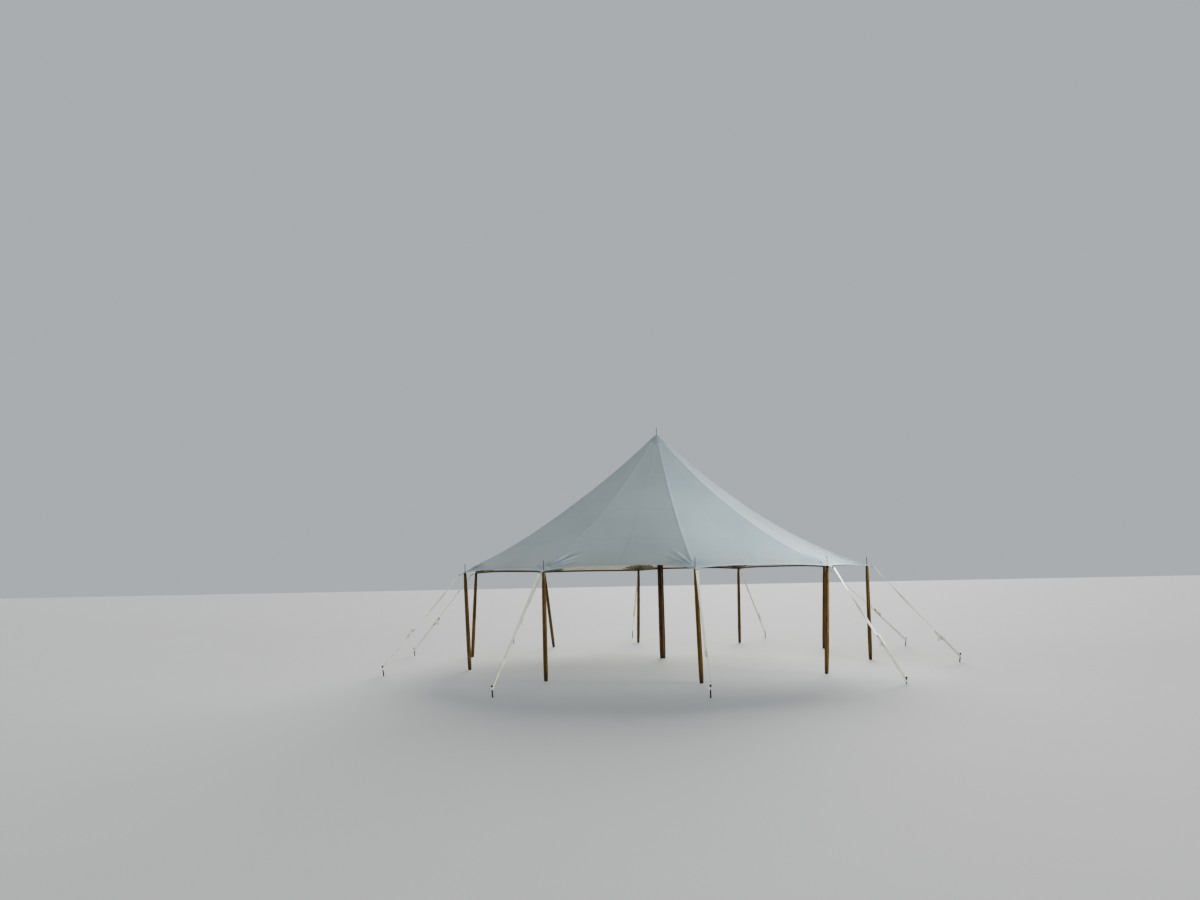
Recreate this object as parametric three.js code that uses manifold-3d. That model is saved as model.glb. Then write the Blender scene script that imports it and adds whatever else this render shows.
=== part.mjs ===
// A round sailcloth pole tent: one centre pole, ten side poles on a decagon, a canopy sewn from ten
// gores, and ten webbing guys made fast to steel stakes.
// Millimetres, +Z up. The origin is the middle of the centre pole's foot, on the ground.
import * as THREE from 'three';
import { mergeVertices } from 'three/addons/utils/BufferGeometryUtils.js';
import Module from 'manifold-3d';

const wasm = await Module();
wasm.setup();

// Plan and heights
const SIDE_COUNT = 10;
const TENT_RADIUS = 4930;
const EAVE_HEIGHT = 2170;
const PEAK_HEIGHT = 5540;
const FIRST_ANGLE = -Math.PI / 2;
const BAY_ANGLE = (2 * Math.PI) / SIDE_COUNT;
const GAP = 0.3;

// Canopy: each ridge falls as (1 - s)(1 - sag s), and sags more on the +X side
const CLOTH_THICKNESS = 6;
const CROWN_RADIUS = 58;
const CORNER_REACH = 60;
const RIDGE_SAG = 0.40;
const SAG_LEAN = 0.10;
// How far each eave is cut back at the middle of its bay, from the front bay round clockwise
const EAVE_SCALLOPS = [200, 130, 120, 60, 30, 110, 110, 110, 80, 125];
const STEPS_ACROSS = 6;
const STEPS_DOWN = 12;

// Side poles, turned from wood and thinner at both ends
const SIDE_POLE_PROFILE = [[36, 0], [42, 90], [46, 420], [45, 1300], [40, 1880], [31, 0]];
// Corners of the round, two to a bay's angle, so that each pole's end has one where either gore bears
const SIDE_POLE_SIDES = 2 * SIDE_COUNT;
// How far each foot stands inward from its head, and sideways
const FOOT_KICKS = [90, 80, 120, -75, 220, 90, 100, 145, 55, 130];
const FOOT_SHIFTS = [60, -20, 10, 40, -160, 70, 15, 20, 10, -50];

// Centre pole
const CENTRE_POLE_PROFILE = [[66, 0], [74, 160], [75, 900], [68, 3200], [56, 0]];

// Steel pins that stand on the poles and come up through the cloth
const PIN_RADIUS = 8;
const PIN_SHOULDER_RADIUS = 20;
const PIN_SHOULDER_HEIGHT = 3;
const PIN_STAND = 190;
const PEAK_PIN_STAND = 220;
const PIN_CLEARANCE = 2;

// Corner webbing, rings and guys
const WEBBING_WIDTH = 48;
const TAB_THICKNESS = 5;
const RING_REACH = 135;
const RING_RADIUS = 32;
const RING_WIRE = 5;
const STRAP_THICKNESS = 4;
const HITCH_LENGTH = 230;
const HITCH_RADIUS = 36;
const KNOT_LENGTH = 80;
const KNOT_RADIUS = 27;
// Where the hitch sits along each guy, from the ring (0) to the stake (1), and the knot that two
// of them also have
const HITCH_PLACES = [0.70, 0.79, 0.64, 0.60, 0.72, 0.68, 0.74, 0.62, 0.77, 0.67];
const KNOT_PLACES = [0, 0, 0, 0.22, 0.45, 0, 0, 0, 0, 0];

// Stakes: how far out from the side pole, and how far sideways, each one is driven
const STAKE_OUT = [1800, 2100, 1800, 1800, 1800, 1800, 1800, 2100, 1800, 1800];
const STAKE_ASIDE = [-140, 430, 300, -140, -130, 50, -40, -540, -440, -360];
const STAKE_RADIUS = 12.5;
const STAKE_HEAD_RADIUS = 21;
const STAKE_HEAD_HEIGHT = 22;
const STAKE_HEIGHTS = [225, 205, 225, 215, 225, 230, 220, 225, 200, 125];
const STAKE_LEAN = 0.16;
const LOOP_HEIGHTS = [160, 150, 160, 150, 160, 165, 155, 160, 130, 48];
const LOOP_WALL = 5;

const canvas = new THREE.MeshStandardMaterial({ color: '#d9d6cb', roughness: 0.85, side: THREE.DoubleSide });
const wood = new THREE.MeshStandardMaterial({ color: '#7a4a22', roughness: 0.55 });
const darkWood = new THREE.MeshStandardMaterial({ color: '#5a3418', roughness: 0.6 });
const steel = new THREE.MeshStandardMaterial({ color: '#3b3b3c', roughness: 0.45, metalness: 0.9 });
const webbing = new THREE.MeshStandardMaterial({ color: '#cfcabb', roughness: 0.9 });
const stakeSteel = new THREE.MeshStandardMaterial({ color: '#1d1c1b', roughness: 0.5, metalness: 0.8 });

const up = new THREE.Vector3(0, 0, 1);
const poleAngle = (index) => FIRST_ANGLE - index * BAY_ANGLE;
const outward = (angle) => new THREE.Vector3(Math.cos(angle), Math.sin(angle), 0);
const sideways = (angle) => new THREE.Vector3(-Math.sin(angle), Math.cos(angle), 0);

// A point in plan, given by a pole and distances outward and sideways from it
function placeByPole(index, out, aside, height) {
  const angle = poleAngle(index);
  return outward(angle)
    .multiplyScalar(TENT_RADIUS + out)
    .addScaledVector(sideways(angle), aside)
    .setZ(height);
}

// Height of the cloth's upper face where a ridge at this angle has the radius given
function ridgeHeight(angle, radius) {
  const s = (radius - CROWN_RADIUS) / (TENT_RADIUS - CROWN_RADIUS);
  const sag = RIDGE_SAG + SAG_LEAN * Math.cos(angle);
  return EAVE_HEIGHT + (PEAK_HEIGHT - EAVE_HEIGHT) * (1 - s) * (1 - sag * s);
}

// Ratio of the straight chord's radius to the corner's, across a bay from 0 to 1
function chordRatio(across) {
  const offset = BAY_ANGLE * (0.5 - across);
  return Math.cos(BAY_ANGLE / 2) / Math.cos(offset);
}

// A point of the cloth's upper face in a bay, across from 0 to 1 and down from crown to eave. Each
// gore is straight from ridge to ridge, so its height follows the corner radius of the same chord
function clothPoint(bay, across, down) {
  const angle = poleAngle(bay) - BAY_ANGLE * across;
  const ratio = chordRatio(across);
  const cut = EAVE_SCALLOPS[bay] * (1 - (2 * across - 1) ** 2);
  const eaveRadius = (TENT_RADIUS + CORNER_REACH) * ratio - cut;
  const radius = CROWN_RADIUS + (eaveRadius - CROWN_RADIUS) * down;
  const cornerRadius = CROWN_RADIUS + (radius - CROWN_RADIUS) / ratio;
  return outward(angle).multiplyScalar(radius).setZ(ridgeHeight(angle, cornerRadius));
}

function solidOf(geometry) {
  geometry.deleteAttribute('normal');
  geometry.deleteAttribute('uv');
  const merged = mergeVertices(geometry, 1e-4);
  return new wasm.Manifold(new wasm.Mesh({
    numProp: 3,
    vertProperties: new Float32Array(merged.attributes.position.array),
    triVerts: new Uint32Array(merged.index.array),
  }));
}

function geometryOf(solid) {
  const mesh = solid.getMesh();
  const geometry = new THREE.BufferGeometry();
  geometry.setAttribute('position', new THREE.BufferAttribute(new Float32Array(mesh.vertProperties), 3));
  geometry.setIndex(new THREE.BufferAttribute(new Uint32Array(mesh.triVerts), 1));
  geometry.computeVertexNormals();
  return geometry;
}

function named(name, geometry, material) {
  const mesh = new THREE.Mesh(geometry, material);
  mesh.name = name;
  return mesh;
}

// A turned solid about +Z, its profile given as [radius, height] and closed on the axis
function turned(profile, sides) {
  const points = [new THREE.Vector2(0, profile[0][1])];
  profile.forEach(([radius, height]) => points.push(new THREE.Vector2(radius, height)));
  points.push(new THREE.Vector2(0, profile[profile.length - 1][1]));
  return new THREE.LatheGeometry(points, sides).rotateX(Math.PI / 2);
}

// The same profile with its last point lifted to the height given
const topped = (profile, height) => {
  const [endRadius] = profile[profile.length - 1];
  return [...profile.slice(0, -1), [endRadius, height]];
};

// Turns a solid made along +Z onto a line, with +X kept as near level as it can be
function alongLine(geometry, from, to) {
  const axis = to.clone().sub(from).normalize();
  const level = new THREE.Vector3().crossVectors(up, axis).normalize();
  const normal = new THREE.Vector3().crossVectors(axis, level);
  const frame = new THREE.Matrix4().makeBasis(level, normal, axis).setPosition(from);
  return geometry.applyMatrix4(frame);
}

// A leaning rod keeps its level foot: each slice is moved sideways in proportion to its height
function leaned(geometry, foot, slope) {
  const shear = new THREE.Matrix4().set(
    1, 0, slope.x, foot.x,
    0, 1, slope.y, foot.y,
    0, 0, 1, foot.z,
    0, 0, 0, 1,
  );
  return geometry.applyMatrix4(shear);
}

// One closed sheet: the upper face, the same face lowered by the thickness, and the rims between them
function clothShell() {
  const columns = SIDE_COUNT * STEPS_ACROSS;
  const rows = STEPS_DOWN + 1;
  const positions = [];
  const triangles = [];
  for (const drop of [0, CLOTH_THICKNESS]) {
    for (let column = 0; column < columns; column += 1) {
      const bay = Math.floor(column / STEPS_ACROSS);
      const across = (column % STEPS_ACROSS) / STEPS_ACROSS;
      for (let row = 0; row < rows; row += 1) {
        const point = clothPoint(bay, across, row / STEPS_DOWN);
        positions.push(point.x, point.y, point.z - drop);
      }
    }
  }
  const lower = columns * rows;
  const crownTop = 2 * lower;
  positions.push(0, 0, PEAK_HEIGHT);
  positions.push(0, 0, PEAK_HEIGHT - CLOTH_THICKNESS);
  for (let column = 0; column < columns; column += 1) {
    const here = column * rows;
    const next = ((column + 1) % columns) * rows;
    for (let row = 0; row < STEPS_DOWN; row += 1) {
      const [a, b, c, d] = [here + row, here + row + 1, next + row + 1, next + row];
      triangles.push(a, c, b, a, d, c);
      triangles.push(lower + a, lower + b, lower + c, lower + a, lower + c, lower + d);
    }
    const [eaveHere, eaveNext] = [here + STEPS_DOWN, next + STEPS_DOWN];
    triangles.push(eaveHere, eaveNext, lower + eaveNext, eaveHere, lower + eaveNext, lower + eaveHere);
    triangles.push(crownTop, next, here, crownTop + 1, lower + here, lower + next);
  }
  const geometry = new THREE.BufferGeometry();
  geometry.setAttribute('position', new THREE.BufferAttribute(new Float32Array(positions), 3));
  geometry.setIndex(triangles);
  return solidOf(geometry);
}

// The line of the corner webbing: it runs on from the ridge, down and outward
function cornerLine(index) {
  const angle = poleAngle(index);
  const middle = (reach) => ridgeHeight(angle, TENT_RADIUS + reach) - CLOTH_THICKNESS / 2;
  const start = placeByPole(index, 0, 0, middle(0));
  const tip = placeByPole(index, CORNER_REACH, 0, middle(CORNER_REACH));
  const direction = tip.clone().sub(start).normalize();
  return { start, direction };
}

const ringCentre = (index) => {
  const { start, direction } = cornerLine(index);
  return start.clone().addScaledVector(direction, RING_REACH);
};

function cornerTab(index) {
  const { start, direction } = cornerLine(index);
  const inner = PIN_RADIUS + PIN_CLEARANCE + 14;
  const outer = RING_REACH - RING_RADIUS - RING_WIRE - GAP;
  const plate = new THREE.BoxGeometry(WEBBING_WIDTH, TAB_THICKNESS, outer - inner);
  plate.translate(0, 0, (outer - inner) / 2);
  const from = start.clone().addScaledVector(direction, inner);
  return solidOf(alongLine(plate, from, from.clone().add(direction)));
}

function canopy() {
  let solid = clothShell();
  const punch = (x, y, height) => {
    const hole = new THREE.CylinderGeometry(PIN_RADIUS + PIN_CLEARANCE, PIN_RADIUS + PIN_CLEARANCE, 200, 12);
    hole.rotateX(Math.PI / 2).translate(x, y, height);
    solid = solid.subtract(solidOf(hole));
  };
  for (let index = 0; index < SIDE_COUNT; index += 1) {
    solid = solid.add(cornerTab(index));
    const head = placeByPole(index, 0, 0, EAVE_HEIGHT);
    punch(head.x, head.y, head.z);
  }
  punch(0, 0, PEAK_HEIGHT);
  return named('canopy', geometryOf(solid), canvas);
}

// The cloth slopes over each pole's end and bears on its rim where the gores fall square to their chords
function sidePoleHeight(index) {
  const rim = SIDE_POLE_PROFILE[SIDE_POLE_PROFILE.length - 1][0];
  const reach = rim / Math.cos(BAY_ANGLE / 2);
  return ridgeHeight(poleAngle(index), TENT_RADIUS + reach) - CLOTH_THICKNESS - GAP;
}

function sidePole(index) {
  const height = sidePoleHeight(index);
  const head = placeByPole(index, 0, 0, height);
  const foot = placeByPole(index, -FOOT_KICKS[index], FOOT_SHIFTS[index], 0);
  const slope = head.clone().sub(foot).divideScalar(height);
  return leaned(turned(topped(SIDE_POLE_PROFILE, height), SIDE_POLE_SIDES), foot, slope);
}

function pin(foot, height) {
  const profile = [
    [PIN_SHOULDER_RADIUS, 0],
    [PIN_SHOULDER_RADIUS, PIN_SHOULDER_HEIGHT],
    [PIN_RADIUS, PIN_SHOULDER_HEIGHT],
    [PIN_RADIUS, height - PIN_RADIUS / 2],
    [PIN_RADIUS / 2, height],
  ];
  return turned(profile, 10).translate(foot.x, foot.y, foot.z);
}

function stakePlace(index) {
  const foot = placeByPole(index, STAKE_OUT[index], STAKE_ASIDE[index], 0);
  const away = foot.clone().sub(placeByPole(index, 0, 0, 0)).normalize();
  const slope = away.multiplyScalar(STAKE_LEAN);
  return { foot, slope };
}

function stake(index) {
  const { foot, slope } = stakePlace(index);
  const height = STAKE_HEIGHTS[index];
  const neck = height - STAKE_HEAD_HEIGHT;
  const profile = [
    [STAKE_RADIUS, 0],
    [STAKE_RADIUS, neck],
    [STAKE_HEAD_RADIUS, neck + 4],
    [STAKE_HEAD_RADIUS, height - 5],
    [STAKE_HEAD_RADIUS - 5, height],
  ];
  return leaned(turned(profile, 10), foot, slope);
}

// A lump of wrapped webbing about +Z, thinner at both ends
function wrapped(middle, length, radius) {
  const half = length / 2;
  const end = radius * 0.45;
  const profile = [
    [end, middle - half],
    [radius, middle - half * 0.4],
    [radius, middle + half * 0.4],
    [end, middle + half],
  ];
  return turned(profile, 8);
}

// A guy: the ring, the strap down to the stake, the hitch that takes up its slack, and the end loop
function guyStrap(index) {
  const { foot, slope } = stakePlace(index);
  const { direction } = cornerLine(index);
  const ringAt = ringCentre(index);
  const loopHeight = LOOP_HEIGHTS[index];
  const loopAt = foot.clone().addScaledVector(slope, loopHeight).setZ(loopHeight);
  const pull = loopAt.clone().sub(ringAt).normalize();

  // The ring lies in line with the corner webbing, and the strap turns down from its far side
  const ring = new THREE.TorusGeometry(RING_RADIUS, RING_WIRE, 6, 16).rotateX(Math.PI / 2);
  const from = ringAt.clone().addScaledVector(direction, RING_RADIUS);
  const to = loopAt.clone().addScaledVector(pull, -(STAKE_RADIUS + LOOP_WALL * 0.6));
  const length = from.distanceTo(to);
  const strap = new THREE.BoxGeometry(WEBBING_WIDTH, STRAP_THICKNESS, length).translate(0, 0, length / 2);

  const lumps = [wrapped(HITCH_PLACES[index] * length, HITCH_LENGTH, HITCH_RADIUS)];
  if (KNOT_PLACES[index] > 0) {
    lumps.push(wrapped(KNOT_PLACES[index] * length, KNOT_LENGTH, KNOT_RADIUS));
  }

  // The end loop stands off the stake by the gap, and leans with it
  const inner = STAKE_RADIUS + GAP + 0.2;
  const loopHalf = WEBBING_WIDTH / 2;
  const outer = inner + LOOP_WALL;
  const band = [[inner, -loopHalf], [outer, -loopHalf], [outer, loopHalf], [inner, loopHalf]];
  const bandPoints = [...band, band[0]].map(([radius, z]) => new THREE.Vector2(radius, z));
  const loop = leaned(new THREE.LatheGeometry(bandPoints, 12).rotateX(Math.PI / 2), loopAt, slope);
  const bore = leaned(turned([[inner, -4 * loopHalf], [inner, 4 * loopHalf]], 12), loopAt, slope);

  let solid = solidOf(alongLine(strap, from, to));
  solid = solid.add(solidOf(alongLine(ring, ringAt, ringAt.clone().add(direction))));
  lumps.forEach((lump) => {
    solid = solid.add(solidOf(alongLine(lump, from, to)));
  });
  return geometryOf(solid.subtract(solidOf(bore)).add(solidOf(loop)));
}

const tent = new THREE.Group();
tent.add(canopy());

const centreHeight = PEAK_HEIGHT - CLOTH_THICKNESS - GAP - PIN_SHOULDER_HEIGHT;
tent.add(named('centre_pole', turned(topped(CENTRE_POLE_PROFILE, centreHeight), 16), darkWood));
const peakFoot = new THREE.Vector3(0, 0, centreHeight + GAP / 2);
tent.add(named('peak_pin', pin(peakFoot, PEAK_HEIGHT + PEAK_PIN_STAND - peakFoot.z), steel));

for (let index = 0; index < SIDE_COUNT; index += 1) {
  const label = String(index + 1).padStart(2, '0');
  const poleTop = placeByPole(index, 0, 0, sidePoleHeight(index) + GAP);
  const pinHeight = EAVE_HEIGHT + PIN_STAND - poleTop.z;
  tent.add(named(`side_pole_${label}`, sidePole(index), wood));
  tent.add(named(`side_pin_${label}`, pin(poleTop, pinHeight), steel));
  tent.add(named(`guy_strap_${label}`, guyStrap(index), webbing));
  tent.add(named(`stake_${label}`, stake(index), stakeSteel));
}

export default tent;
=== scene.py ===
import math
import random

import bmesh
import bpy
import numpy as np
from mathutils import Matrix, Vector


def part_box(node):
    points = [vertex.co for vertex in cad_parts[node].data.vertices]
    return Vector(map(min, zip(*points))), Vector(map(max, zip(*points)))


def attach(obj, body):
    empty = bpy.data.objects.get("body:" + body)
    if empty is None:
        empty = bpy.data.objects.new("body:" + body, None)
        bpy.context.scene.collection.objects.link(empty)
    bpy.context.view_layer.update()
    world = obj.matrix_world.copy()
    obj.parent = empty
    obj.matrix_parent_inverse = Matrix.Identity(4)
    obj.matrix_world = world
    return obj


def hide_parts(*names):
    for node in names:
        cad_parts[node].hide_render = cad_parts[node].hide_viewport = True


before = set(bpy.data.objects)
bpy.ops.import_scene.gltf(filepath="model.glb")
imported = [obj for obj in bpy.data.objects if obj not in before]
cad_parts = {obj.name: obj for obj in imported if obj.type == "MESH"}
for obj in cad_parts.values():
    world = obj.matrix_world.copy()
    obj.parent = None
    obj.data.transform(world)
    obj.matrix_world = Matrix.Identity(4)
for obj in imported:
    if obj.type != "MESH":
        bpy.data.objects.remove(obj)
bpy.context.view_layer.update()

BODY = "root"
SIDE_COUNT = 10
LABELS = [f"{i + 1:02d}" for i in range(SIDE_COUNT)]
EAST, NORTH, UP = Vector((1, 0, 0)), Vector((0, 1, 0)), Vector((0, 0, 1))

# Plan, heights and the cloth's form, as the solids have them
TENT_RADIUS = 4.93
EAVE_HEIGHT = 2.17
PEAK_HEIGHT = 5.54
FIRST_ANGLE = -math.pi / 2
BAY_ANGLE = 2 * math.pi / SIDE_COUNT
SOLID_CLOTH = 0.006
CROWN_RADIUS = 0.058
CORNER_REACH = 0.060
RIDGE_SAG = 0.40
SAG_LEAN = 0.10
EAVE_SCALLOPS = np.array([200, 130, 120, 60, 30, 110, 110, 110, 80, 125]) / 1000

# Corner fittings, guys and stakes, as the solids have them
PIN_RADIUS = 0.008
WEBBING_WIDTH = 0.048
RING_REACH = 0.135
RING_RADIUS = 0.032
RING_WIRE = 0.005
HITCH_PLACES = [0.70, 0.79, 0.64, 0.60, 0.72, 0.68, 0.74, 0.62, 0.77, 0.67]
KNOT_PLACES = [0, 0, 0, 0.22, 0.45, 0, 0, 0, 0, 0]
STAKE_OUT = [1.80, 2.10, 1.80, 1.80, 1.80, 1.80, 1.80, 2.10, 1.80, 1.80]
STAKE_ASIDE = [-0.14, 0.43, 0.30, -0.14, -0.13, 0.05, -0.04, -0.54, -0.44, -0.36]
STAKE_RADIUS = 0.0125
STAKE_HEIGHTS = [0.225, 0.205, 0.225, 0.215, 0.225, 0.230, 0.220, 0.225, 0.200, 0.125]
STAKE_LEAN = 0.16
LOOP_HEIGHTS = [0.160, 0.150, 0.160, 0.150, 0.160, 0.165, 0.155, 0.160, 0.130, 0.048]
FOOT_KICKS = [0.090, 0.080, 0.120, -0.075, 0.220, 0.090, 0.100, 0.145, 0.055, 0.130]
FOOT_SHIFTS = [0.060, -0.020, 0.010, 0.040, -0.160, 0.070, 0.015, 0.020, 0.010, -0.050]
SIDE_POLE_PROFILE = [(0.036, 0), (0.042, 0.09), (0.046, 0.42), (0.045, 1.30), (0.040, 1.88), (0.031, None)]
CENTRE_POLE_PROFILE = [(0.066, 0), (0.074, 0.16), (0.075, 0.90), (0.068, 3.20), (0.056, None)]

# The camera stands where the photograph was taken from
CAMERA_PLACE = Vector((-2.851, -20.843, 2.061))
CAMERA_HEADING = Vector((0.06695, 0.99776, 0.0)).normalized()
CAMERA_PITCH = math.radians(8.509)
CAMERA_ROLL = math.radians(-1.061)
FOCAL_PIXELS = 832
PHOTO_WIDTH = 1200
SENSOR_WIDTH = 36
CLIP_END = 500


def place_in_scene(name, data):
    made = bpy.data.objects.new(name, data)
    bpy.context.scene.collection.objects.link(made)
    return made


def add_camera():
    data = bpy.data.cameras.new("camera")
    data.sensor_width = SENSOR_WIDTH
    data.lens = FOCAL_PIXELS / PHOTO_WIDTH * SENSOR_WIDTH
    data.clip_end = CLIP_END
    forward = CAMERA_HEADING * math.cos(CAMERA_PITCH) + UP * math.sin(CAMERA_PITCH)
    level = forward.cross(UP).normalized()
    upward = level.cross(forward)
    right = level * math.cos(CAMERA_ROLL) + upward * math.sin(CAMERA_ROLL)
    upward = right.cross(forward)
    camera = place_in_scene("camera", data)
    turn = Matrix((right, upward, -forward)).transposed().to_4x4()
    camera.matrix_world = Matrix.Translation(CAMERA_PLACE) @ turn
    bpy.context.scene.camera = camera


add_camera()


# Materials


def opaque(colour):
    """A colour's socket as it is, or its three numbers with an alpha of 1."""
    return colour if isinstance(colour, bpy.types.NodeSocket) else (*colour, 1)


def tinted(colour, factor):
    return tuple(min(1, c * factor) for c in colour)


class Shader:
    """A material's node tree, with short ways to add the nodes used here."""

    def __init__(self, name):
        self.material = bpy.data.materials.new(name)
        self.material.use_nodes = True
        self.tree = self.material.node_tree
        self.tree.nodes.clear()
        self.output = self.tree.nodes.new("ShaderNodeOutputMaterial")

    def node(self, kind, inputs=None, **settings):
        """A new node. Each input is given by its name or number, as a socket to link or as a constant."""
        made = self.tree.nodes.new("ShaderNode" + kind)
        for key, value in settings.items():
            setattr(made, key, value)
        for socket, value in (inputs or {}).items():
            if isinstance(value, bpy.types.NodeSocket):
                self.tree.links.new(value, made.inputs[socket])
            else:
                made.inputs[socket].default_value = value
        return made

    def coordinates(self, kind="Object", scale=(1, 1, 1)):
        source = self.node("TexCoord").outputs[kind]
        return self.node("Mapping", {"Vector": source, "Scale": scale}).outputs["Vector"]

    def noise(self, vector, scale, detail=4, roughness=0.55, distortion=0.0):
        inputs = {"Vector": vector, "Scale": scale, "Detail": detail, "Roughness": roughness,
                  "Distortion": distortion}
        return self.node("TexNoise", inputs).outputs["Fac"]

    def wave(self, vector, scale, direction):
        inputs = {"Vector": vector, "Scale": scale}
        return self.node("TexWave", inputs, bands_direction=direction).outputs["Fac"]

    def ramp(self, fac, stops):
        made = self.node("ValToRGB", {"Fac": fac})
        points = made.color_ramp.elements
        while len(points) < len(stops):
            points.new(0.5)
        for point, (place, colour) in zip(points, stops):
            point.position = place
            point.color = opaque(colour)
        return made.outputs["Color"]

    def span(self, value, low, high, to_low=0.0, to_high=1.0):
        """How far the value is from low to high, eased, as a number from to_low to to_high."""
        inputs = {"Value": value, "From Min": low, "From Max": high, "To Min": to_low, "To Max": to_high}
        return self.node("MapRange", inputs, interpolation_type="SMOOTHSTEP").outputs["Result"]

    def math(self, operation, first, second):
        return self.node("Math", {0: first, 1: second}, operation=operation).outputs["Value"]

    def mix(self, fac, first, second):
        return self.node("Mix", {0: fac, 6: opaque(first), 7: opaque(second)}, data_type="RGBA").outputs[2]

    def bump(self, height, strength, distance, under=None):
        inputs = {"Height": height, "Strength": strength, "Distance": distance}
        if under is not None:
            inputs["Normal"] = under
        return self.node("Bump", inputs).outputs["Normal"]

    def attribute(self, name):
        return self.node("Attribute", attribute_name=name).outputs["Fac"]

    def principled(self, colour, roughness, **more):
        """The main shader. More inputs are given by their names, with _ in place of a space."""
        inputs = {"Base Color": colour, "Roughness": roughness}
        inputs.update((name.replace("_", " "), value) for name, value in more.items())
        return self.node("BsdfPrincipled", inputs).outputs["BSDF"]

    def finish(self, shader):
        self.tree.links.new(shader, self.output.inputs["Surface"])
        return self.material


WEAVE_PITCH = 0.0016
WEAVE_DEPTH = 0.0004
CRUMPLE_DEPTH = 0.006
GRIME = (0.42, 0.39, 0.31)
GRIME_REACH = 0.9
CLOTH_SPECULAR = 0.32


def cloth_material(name, face, dark, glow, share):
    """Woven sailcloth: matt, finely woven, weathered, and lit through from behind by the share."""
    s = Shader(name)
    place = s.coordinates()
    broad = s.noise(place, 0.55, 5, 0.6)
    cloudy = s.noise(place, 3.2, 6, 0.6)
    streaks = s.noise(s.coordinates("UV", (1.3, 0.16, 1)), 7, 5, 0.65)
    tone = s.mix(s.span(broad, 0.38, 0.66), dark, face)
    tone = s.mix(s.span(cloudy, 0.42, 0.75, 0.0, 0.14), tone, tinted(face, 1.08))
    tone = s.mix(s.span(streaks, 0.56, 0.82, 0.0, 0.16), tone, tinted(dark, 0.74))
    soiled = s.span(s.attribute("from_eave"), GRIME_REACH, 0.0, 0.0, 0.26)
    tone = s.mix(s.math("MULTIPLY", soiled, s.span(streaks, 0.3, 0.7)), tone, GRIME)
    # The folds at the corners get a painted highlight along their crests and painted shade in the hollows
    # beside them
    fold = s.attribute("fold")
    tone = s.mix(s.span(fold, 0.25, 0.95, 0.0, 0.75), tone, tinted(face, 1.45))
    tone = s.mix(s.span(fold, -0.02, -0.22, 0.0, 0.6), tone, tinted(dark, 0.55))
    weave_place = s.coordinates("UV", (1 / WEAVE_PITCH / (2 * math.pi),) * 3)
    threads = s.math("MAXIMUM", s.wave(weave_place, math.pi, "X"), s.wave(weave_place, math.pi, "Y"))
    slubs = s.noise(s.coordinates("UV", (30, 260, 1)), 3, 2)
    weave = s.bump(s.math("ADD", threads, s.math("MULTIPLY", slubs, 0.8)), 0.22, WEAVE_DEPTH)
    crumples = s.noise(s.coordinates("UV", (1, 0.5, 1)), 9, 6, 0.6, 0.4)
    relief = s.bump(crumples, 0.16, CRUMPLE_DEPTH, weave)
    roughness = s.span(cloudy, 0.3, 0.7, 0.72, 0.86)
    skin = s.principled(tone, roughness, Normal=relief, Specular_IOR_Level=CLOTH_SPECULAR)
    through = s.node("BsdfTranslucent", {"Color": s.mix(0.7, tone, glow), "Normal": relief}).outputs["BSDF"]
    return s.finish(s.node("MixShader", {0: share, 1: skin, 2: through}).outputs["Shader"])


RIB_PITCH = 0.0021
COARSE_RIB_PITCH = 0.0030
RIB_DEPTH = 0.0007


def webbing_material(name, face, dark, pitch=RIB_PITCH):
    """Ribbed polyester webbing, UV in metres: across the strap in U, along it in V."""
    s = Shader(name)
    uv = s.coordinates("UV")
    ribs = s.wave(uv, 1 / pitch / 2, "Y")
    cords = s.wave(uv, 1 / pitch / 3.2, "X")
    soil = s.noise(s.coordinates(), 11, 6, 0.65)
    fray = s.noise(s.coordinates("UV", (4, 1, 1)), 160, 3)
    tone = s.mix(s.span(soil, 0.36, 0.72), dark, face)
    tone = s.mix(s.math("MULTIPLY", ribs, 0.22), tone, dark)
    tone = s.mix(s.span(fray, 0.62, 0.8, 0.0, 0.3), tone, tinted(face, 1.15))
    height = s.math("ADD", s.math("MULTIPLY", ribs, 0.6), s.math("MULTIPLY", cords, 0.5))
    return s.finish(s.principled(tone, 0.82, Normal=s.bump(height, 0.5, RIB_DEPTH)))


GRAIN_DEPTH = 0.0016
DAMP_FOOT = (0.035, 0.026, 0.017)
DAMP_HEIGHT = 0.24


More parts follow.
